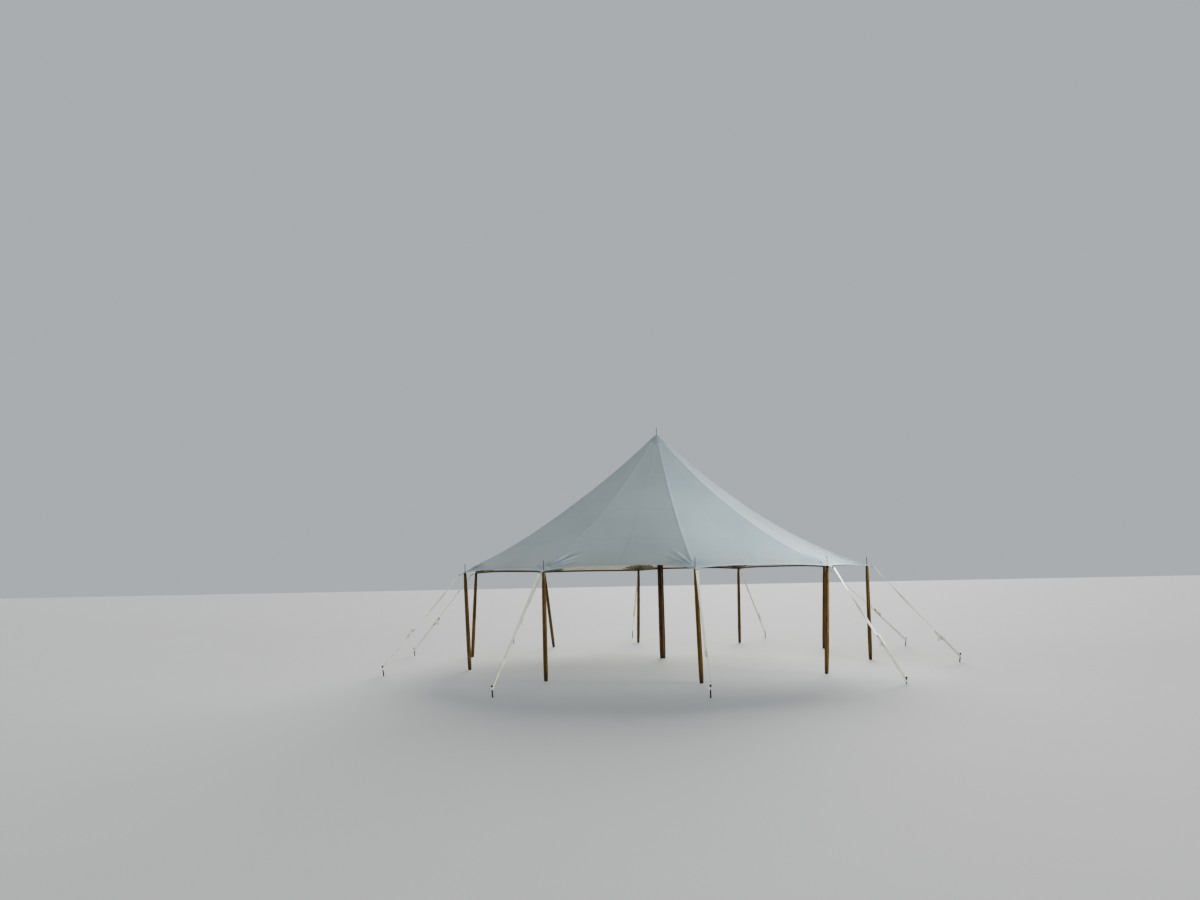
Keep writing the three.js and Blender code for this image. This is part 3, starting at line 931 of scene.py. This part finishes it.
def crown_cap():
    """The reinforced cap over the crown, which closes the cloth to the pin."""
    profile = [(r, PEAK_HEIGHT + z) for r, z in CAP_TOP]
    for x, y, z in cloth_points(0, CAP_ACROSS, np.array(CAP_PLACES), CAP_RISE)[0]:
        profile.append((math.hypot(x, y), z))
    profile += [(r, z - CAP_THICKNESS) for r, z in reversed(profile)]
    taken_at = math.cos(pole_angle(0) - BAY_ANGLE * CAP_ACROSS)
    rows, uv = [], []
    for r, z in profile:
        share = max(0.0, r - CROWN_RADIUS) / (TENT_RADIUS - CROWN_RADIUS)
        row = []
        for a in turns(CAP_SIDES):
            drop = (PEAK_HEIGHT - EAVE_HEIGHT) * SAG_LEAN * (math.cos(a) - taken_at) * share
            row.append(Vector((r * math.cos(a), r * math.sin(a), z - drop)))
        rows.append(row)
        uv += [(j * 0.01, r) for j in range(CAP_SIDES)]
    made = Builder()
    made.grid(rows, uv, closed=True)
    return made.make("crown_cap", canvas, "canvas")


GROMMET_RADIUS = 0.0165
GROMMET_WIRE = 0.0042
GROMMET_RISE = 0.0038


def grommets():
    made = Builder()
    for index in range(SIDE_COUNT):
        (centre,), (normal,) = on_cloth_by_pole(index, 0, 0, GROMMET_RISE)
        level = sideways(index)
        other = normal.cross(level).normalized()
        made.ring(circle(centre, level, other, GROMMET_RADIUS, 28), GROMMET_WIRE, 8)
    return made.make("corner_grommets", brass, "pin_steel")


# Poles and pins


def leaning(foot, head):
    """Moves a point of a form made about +Z so that the form leans and keeps level ends."""
    slope = (head - foot) / (head.z - foot.z)
    return lambda p: Vector((foot.x + p.x + slope.x * p.z, foot.y + p.y + slope.y * p.z, foot.z + p.z))


def uneven(place, swell):
    """Moves a point to its place once its distance from the axis is scaled by swell(angle, height)."""
    def move(p):
        factor = swell(math.atan2(p.y, p.x), p.z)
        return place(Vector((p.x * factor, p.y * factor, p.z)))
    return move


def rounded_profile(profile, height, chamfer, steps):
    """The pole's taper, drawn out smoothly, with a small round at both ends."""
    radii = [r for r, _ in profile]
    heights = [height if z is None else z for _, z in profile]
    near = chamfer * 0.3
    places = np.linspace(chamfer, height - chamfer, steps + 1)
    body = zip(np.interp(places, heights, radii), places)
    return [(radii[0] - chamfer, 0.0), (radii[0] - near, near), *body,
            (radii[-1] - near, height - near), (radii[-1] - chamfer, height)]


SIDE_POLE_ROUND, CENTRE_POLE_ROUND = 0.004, 0.006
# How far a side pole's section strays from round, in three waves around and in two
THREE_WAVES, TWO_WAVES = 0.012, 0.008


def side_poles():
    for index, label in enumerate(LABELS):
        node = f"side_pole_{label}"
        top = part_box(node)[1][2]
        foot = by_pole(index, -FOOT_KICKS[index], FOOT_SHIFTS[index], 0)
        place = leaning(foot, by_pole(index, 0, 0, top))
        phase = random.Random(100 + index).uniform(0, 6.28)

        def swell(a, z, phase=phase):
            return (1 + THREE_WAVES * math.sin(3 * a + phase + 1.3 * z)
                    + TWO_WAVES * math.sin(2 * a - 2.1 * z + phase))
        made = Builder()
        made.lathe(rounded_profile(SIDE_POLE_PROFILE, top, SIDE_POLE_ROUND, 46), 36, uneven(place, swell))
        made.make(f"wood_pole_{label}", pole_wood, "pole_wood", (node,))


def centre_pole():
    made = Builder()
    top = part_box("centre_pole")[1][2]
    made.lathe(rounded_profile(CENTRE_POLE_PROFILE, top, CENTRE_POLE_ROUND, 90), 48)
    made.make("mast", centre_wood, "centre_wood", ("centre_pole",))


# The washer at a pin's foot, and the round at its tip
PIN_WASHER = [(0.019, 0), (0.020, 0.0008), (0.020, 0.0022), (0.019, 0.003), (PIN_RADIUS, 0.003)]
PIN_TIP = [(1, -0.006), (0.8, -0.0025), (0.4, 0)]


def pins():
    names = {f"side_pin_{label}": f"top_pin_{label}" for label in LABELS}
    names["peak_pin"] = "mast_pin"
    for node, name in names.items():
        low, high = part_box(node)
        foot = Vector(((low[0] + high[0]) / 2, (low[1] + high[1]) / 2, low[2]))
        tall = high[2] - low[2]
        shaft = [(PIN_RADIUS, tall * k / 8) for k in range(1, 8)]
        tip = [(PIN_RADIUS * share, tall + z) for share, z in PIN_TIP]
        made = Builder()
        made.lathe(PIN_WASHER + shaft + tip, 24, lambda p: foot + p)
        made.make(name, pin_steel, "pin_steel", (node,))


# Guys and stakes


def stake_place(index):
    foot = by_pole(index, STAKE_OUT[index], STAKE_ASIDE[index], 0)
    away = (foot - by_pole(index, 0, 0, 0)).normalized()
    return foot, away * STAKE_LEAN


# A stake's head as radii and heights, first from its neck up and then from its crown down
STAKE_HEAD = 0.022
STAKE_NECK = [(STAKE_RADIUS, -0.004), (STAKE_RADIUS + 0.0015, -0.001), (0.0195, 0.003), (0.021, 0.006)]
STAKE_CROWN = [(0.0212, -0.008), (0.0195, -0.004), (0.016, -0.001), (0.009, 0)]


def stakes():
    for index, label in enumerate(LABELS):
        foot, slope = stake_place(index)
        crown = STAKE_HEIGHTS[index]
        neck = crown - STAKE_HEAD
        place = leaning(foot, foot + (slope + UP) * crown)
        profile = ([(STAKE_RADIUS, neck * share) for share in (0, 0.35, 0.7)]
                   + [(r, neck + z) for r, z in STAKE_NECK] + [(r, crown + z) for r, z in STAKE_CROWN])
        phase = random.Random(40 + index).uniform(0, 6.28)

        def swell(a, z, phase=phase, neck=neck):
            return 1 + (0.05 * math.sin(3 * a + phase) if z > neck else 0)
        made = Builder()
        made.lathe(profile, 28, uneven(place, swell))
        made.make(f"steel_stake_{label}", stake_steel, "stake_steel", (f"stake_{label}",))


def upward(direction):
    return -direction if direction.z < 0 else direction


class Guy:
    """Where a guy runs: from its ring's far side straight to the loop on its stake."""

    def __init__(self, index):
        self.index, self.label = index, LABELS[index]
        foot, slope = stake_place(index)
        self.stake_axis = (slope + UP).normalized()
        self.loop_at = foot + (slope + UP) * LOOP_HEIGHTS[index]
        self.start, self.direction = corner_line(index)
        self.side = sideways(index)
        self.ring_at = self.start + self.direction * RING_REACH
        self.far = self.ring_at + self.direction * RING_RADIUS
        self.pull = (self.loop_at - self.far).normalized()
        self.level = self.pull.cross(UP).normalized()
        self.rise = upward(self.level.cross(self.pull).normalized())
        self.length = (self.loop_at - self.far).length
        self.hitch = HITCH_PLACES[index] * self.length

    def at(self, along, up=0.0, aside=0.0):
        return self.far + self.pull * along + self.rise * up + self.level * aside


# How far the webbing's middle lies from the middle of the ring's wire that it goes round
WIRE_TURN = RING_WIRE + STRAP / 2 + 0.0003


def half_turn(centre, bulge, first):
    """Webbing bent round a ring's wire: from the first side, over the bulge, to the other side."""
    angles = [math.pi / 2 - math.pi * k / 8 for k in range(9)]
    return [centre + bulge * (WIRE_TURN * math.cos(a)) + first * (WIRE_TURN * math.sin(a)) for a in angles]


def guy_ring(guy):
    made = Builder()
    made.ring(circle(guy.ring_at, guy.direction, guy.side, RING_RADIUS, 40), RING_WIRE, 12)
    made.make(f"ring_{guy.label}", ring_steel, "pin_steel")


def corner_webbing(guy):
    """Out from under the cloth, round the ring's near side and back under itself."""
    over = upward(guy.direction.cross(guy.side).normalized())
    near = RING_REACH - RING_RADIUS
    inner = PIN_RADIUS + 0.030

    def at(out, up):
        return guy.start + guy.direction * out + over * up
    path = ([at(inner, -0.0035), at(0.060, -0.0015), at(near - 0.012, WIRE_TURN * 0.8)]
            + half_turn(at(near, 0), guy.direction, over)
            + [at(near - 0.014, -WIRE_TURN * 0.95), at(0.062, -0.0062), at(inner, -0.0078)])
    made = Builder()
    made.ribbon(path, [guy.side] * len(path), WEBBING_WIDTH * 0.86, STRAP)
    made.make(f"corner_webbing_{guy.label}", ridge_web, "webbing")


# Where the part sewn down behind the ring ends, and how the strap lies on either side of it there
SEWN_END = 0.12
SEWN_BELOW = [(0.17, -0.0026), (SEWN_END, -0.0028), (0.06, -0.0034), (0.02, -WIRE_TURN * 0.95)]
SEWN_ABOVE = [(0.02, WIRE_TURN * 0.95), (0.06, 0.0018), (SEWN_END, 0.0006)]
STRAP_SAG = 0.012 / 2.6


def single_strap(builder, guy):
    """Sewn round the ring's far side and down to the hitch; some straps turn over on the way."""
    path = ([guy.at(*place) for place in SEWN_BELOW] + half_turn(guy.far, -guy.pull, -guy.rise)
            + [guy.at(*place) for place in SEWN_ABOVE])
    across = [guy.level] * len(path)
    twist = random.Random(60 + guy.index).choice((0, 0, 1)) * math.pi
    for t in np.linspace(0, 1, 35)[1:]:
        sag = STRAP_SAG * guy.length * math.sin(math.pi * t)
        path.append(guy.at(SEWN_END + (guy.hitch - SEWN_END) * t, -sag))
        a = twist * smoothstep(0, 1, t)
        across.append(guy.level * math.cos(a) + guy.rise * math.sin(a))
    builder.ribbon(path, across, WEBBING_WIDTH, STRAP)


LEG_GAP = 0.006
STAKE_TURN = STAKE_RADIUS + STRAP / 2 + 0.0006


def doubled_strap(builder, guy):
    """Below the hitch the strap is doubled: down one side of the stake, round it, and up the other."""
    def leg(side, t):
        gap = LEG_GAP + (STAKE_TURN - LEG_GAP) * t
        return guy.at(guy.hitch + (guy.length - guy.hitch) * t, aside=side * gap), t
    down = np.linspace(0, 1, 17)
    outer = (guy.pull - guy.stake_axis * guy.pull.dot(guy.stake_axis)).normalized()
    angles = [-math.pi / 2 + math.pi * k / 12 for k in range(1, 12)]
    bend = [(guy.loop_at + (guy.level * math.sin(a) + outer * math.cos(a)) * STAKE_TURN, 1) for a in angles]
    path, across = [], []
    for p, t in [leg(-1, t) for t in down] + bend + [leg(1, t) for t in down[::-1]]:
        blend = smoothstep(0.45, 1, t)
        path.append(p)
        across.append((guy.rise * (1 - blend) + guy.stake_axis * blend).normalized())
    builder.ribbon(path, across, WEBBING_WIDTH * 0.96, STRAP)


# Webbing wound round the strap, by its turns, the way between two of them, its radii and its width
KNOT_WRAPS = (2, 0.032, (0.028, 0.020), 0.034)
HITCH_WRAPS = (3, 0.034, (0.0300, 0.0285), 0.036)
WRAP_STEPS = 22
WRAP_SWELL = 0.09


def wraps(builder, guy, start, times, pitch, radii, width):
    """Each turn is a little fuller or tighter than the last."""
    points = []
    for k in range(times * WRAP_STEPS + 1):
        t = k / WRAP_STEPS
        a = 2 * math.pi * t
        swell = 1 + WRAP_SWELL * math.sin(2.3 * t)
        round_strap = (guy.level * math.cos(a) * radii[0] + guy.rise * math.sin(a) * radii[1]) * swell
        points.append(start + guy.pull * (pitch * t) + round_strap)
    builder.ribbon(points, [guy.pull] * len(points), width, STRAP * 1.2)


def knot(guy):
    """Webbing tied round the strap part of the way down."""
    made = Builder()
    wraps(made, guy, guy.at(KNOT_PLACES[guy.index] * guy.length - 0.032), *KNOT_WRAPS)
    made.make(f"knot_{guy.label}", guy_web, "webbing")


HANK_FOLDS = 5
HANK_REACH = (0.105, 0.125)
HANK_START = 0.008
FOLD_DEPTH = 0.0068
# How much fuller each fold of a hank is at its ends, how much shorter, and how far it tips
FOLD_BELLY, FOLD_SHORTER, FOLD_TIP = 0.004, 0.035, 0.10
HUB_DEPTH = 0.019


def hitch(guy):
    """The spare webbing, folded into a hank and bound to the strap, with its end hanging out."""
    rng = random.Random(80 + guy.index)
    made = Builder()
    centre = guy.at(guy.hitch)
    side = guy.rise * rng.choice((1, -1))
    reach = rng.uniform(*HANK_REACH)
    path, across = [], []
    for fold in range(HANK_FOLDS):
        depth = HANK_START + FOLD_DEPTH * fold
        towards = 1 if fold % 2 else -1
        for k in range(9):
            u = towards * (1 - k / 4) * (1 - FOLD_SHORTER * fold)
            belly = FOLD_BELLY * fold * abs(u) ** 1.5
            path.append(centre + guy.pull * (u * reach) + side * (depth + belly))
            tip = FOLD_TIP * math.sin(1.9 * fold + 2 * u + guy.index)
            across.append((guy.level + guy.rise * tip).normalized())
        if fold < HANK_FOLDS - 1:
            depth += FOLD_DEPTH / 2 + FOLD_BELLY * fold
            path.append(centre - guy.pull * (towards * reach * 1.06) + side * depth)
            across.append(guy.level)
    made.ribbon(path, across, WEBBING_WIDTH, STRAP)
    hub = centre + side * HUB_DEPTH
    wraps(made, guy, hub - guy.pull * 0.050, *HITCH_WRAPS)
    loose_end(made, guy, hub, rng)
    made.make(f"hitch_{guy.label}", guy_web, "webbing")


# The guy whose spare end is long, and the shape that the others hang in, in sizes aside and down
LONG_TAIL = 7
TAIL_SHAPE = [(0.0, 0.0), (0.5, 0.3), (0.75, 1.1), (0.6, 2.0), (0.85, 2.9), (0.7, 3.6)]
TAIL_SIZE = (0.028, 0.045)
# The long end's waves: points this far apart, at this height over the strap, and this much up and down
WAVE_STEP, WAVE_RISE, WAVE_DEPTH = 0.030, 0.020, 0.022


def loose_end(builder, guy, hub, rng):
    """It comes out of the wraps and hangs, or lies along the strap in waves where there is more of it."""
    out = guy.level * rng.choice((-1, 1))
    if guy.index == LONG_TAIL:
        tail = []
        for k in range(18):
            rise = WAVE_RISE + WAVE_DEPTH * math.sin(1.25 * k)
            tail.append(hub + out * 0.03 - guy.pull * (0.05 + WAVE_STEP * k) + guy.rise * rise)
        flat = [out] * len(tail)
    else:
        drop = (-UP + out * rng.uniform(0.15, 0.45) + guy.pull * rng.uniform(-0.3, 0.3)).normalized()
        size = rng.uniform(*TAIL_SIZE)
        places = [hub + out * (0.012 + u * size * 0.6) + drop * (v * size) for u, v in TAIL_SHAPE]
        tail = smooth_path(places, 6)
        flat = [(guy.pull * math.cos(0.05 * k) + guy.rise * math.sin(0.05 * k)).normalized()
                for k in range(len(tail))]
    builder.ribbon(tail, flat, WEBBING_WIDTH * 0.95, STRAP)


def guys():
    for index in range(SIDE_COUNT):
        guy = Guy(index)
        guy_ring(guy)
        corner_webbing(guy)
        straps = Builder()
        single_strap(straps, guy)
        doubled_strap(straps, guy)
        straps.make(f"guy_webbing_{guy.label}", guy_web, "webbing", (f"guy_strap_{guy.label}",))
        hitch(guy)
        if KNOT_PLACES[index]:
            knot(guy)


# Floor and light


FLOOR_REACH = 120


def add_floor():
    mesh = bpy.data.meshes.new("floor")
    corners = [(FLOOR_REACH * x, FLOOR_REACH * y, 0) for x, y in ((-1, -1), (1, -1), (1, 1), (-1, 1))]
    mesh.from_pydata(corners, [], [(0, 1, 2, 3)])
    s = Shader("floor")
    tone = s.mix(s.noise(s.coordinates(), 0.4, 3), (0.47, 0.468, 0.46), (0.50, 0.498, 0.49))
    mesh.materials.append(s.finish(s.principled(tone, 0.9)))
    floor = place_in_scene("floor", mesh)


def lamp(name, kind, towards, energy, colour):
    data = bpy.data.lights.new(name, kind)
    data.energy = energy
    data.color = colour
    made = place_in_scene(name, data)
    made.rotation_euler = Vector(towards).to_track_quat("-Z", "Y").to_euler()
    return made


def sun(name, towards, strength, softness, colour):
    lamp(name, "SUN", towards, strength, colour).data.angle = math.radians(softness)


def softbox(name, place, target, size, spread, power, colour):
    made = lamp(name, "AREA", Vector(target) - Vector(place), power, colour)
    made.location = place
    made.visible_camera = False
    made.data.shape = "SQUARE"
    made.data.size = size
    made.data.spread = math.radians(spread)


# Cool light comes from the sky at either side, and warmer light from behind the tent
SKY_COLOUR = (0.83, 0.89, 0.95, 1)
SKY_STRENGTH = 0.50
RIGHT_BOX_PLACE = (6.8, -6.4, 3.5)
RIGHT_BOX_TARGET = (2.2, -3.4, 2.9)


def add_light():
    world = bpy.data.worlds.new("world")
    world.use_nodes = True
    background = world.node_tree.nodes["Background"]
    background.inputs["Color"].default_value = SKY_COLOUR
    background.inputs["Strength"].default_value = SKY_STRENGTH
    bpy.context.scene.world = world
    softbox("right_softbox", RIGHT_BOX_PLACE, RIGHT_BOX_TARGET, size=3.0, spread=80, power=195,
            colour=(0.88, 0.96, 1.0))
    sun("right", (-0.72, 0.68, -0.10), strength=0.90, softness=12, colour=(0.90, 0.97, 1.0))
    sun("left", (0.97, -0.15, -0.10), strength=1.5, softness=20, colour=(0.92, 0.97, 1.0))
    sun("back", (-0.25, -0.90, -0.34), strength=4.4, softness=30, colour=(1.0, 0.975, 0.94))
    bpy.context.scene.view_settings.view_transform = "AgX"
    bpy.context.scene.view_settings.look = "AgX - Medium High Contrast"


cloth = canopy()
trim = [seams(), ridge_webs(), eave_hem(), inner_hem_shaded(), crown_cap(), grommets()] + corner_patches()
side_poles()
centre_pole()
pins()
stakes()
guys()
add_floor()
add_light()
